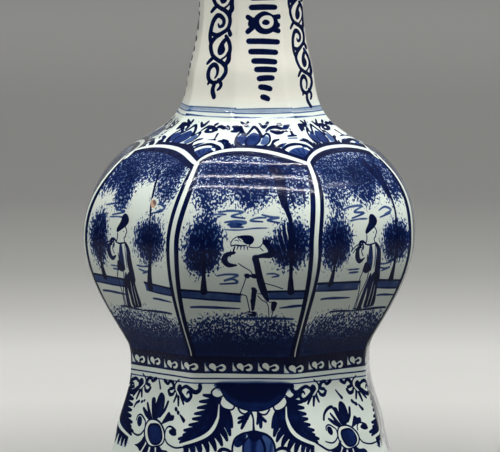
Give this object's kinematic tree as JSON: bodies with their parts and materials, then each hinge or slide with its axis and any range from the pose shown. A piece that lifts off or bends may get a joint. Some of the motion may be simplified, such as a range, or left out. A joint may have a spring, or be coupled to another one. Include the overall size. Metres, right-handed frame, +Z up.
{
  "type": "vase",
  "caption": "Octagonal blue-and-white faience bottle vase: flaring foot, full belly, tapering neck and garlic head, painted with garden panels, ribs, borders and scrolls",
  "frame": {"origin": "centre of the standing edge, on the surface that the vase stands on", "axes": "+Z up along the vase's axis; -Y is the flat of the belly that faces the viewer; +X to the viewer's right"},
  "size_m": [0.1642, 0.1642, 0.345],
  "materials": {
    "painted_glaze": "gloss",
    "glaze": "gloss",
    "slip": "matte"
  },
  "bodies": {
    "root": {"foot_section": "painted_glaze", "base_slab": "glaze", "base_luting_coil": "slip", "waist_slip_seam": "slip", "lower_belly": "painted_glaze", "belly_slip_seam": "slip", "upper_belly": "painted_glaze", "neck_slip_seam": "slip", "neck_section": "painted_glaze", "head_slip_seam": "slip", "garlic_head": "painted_glaze"}
  },
  "joints": []
}
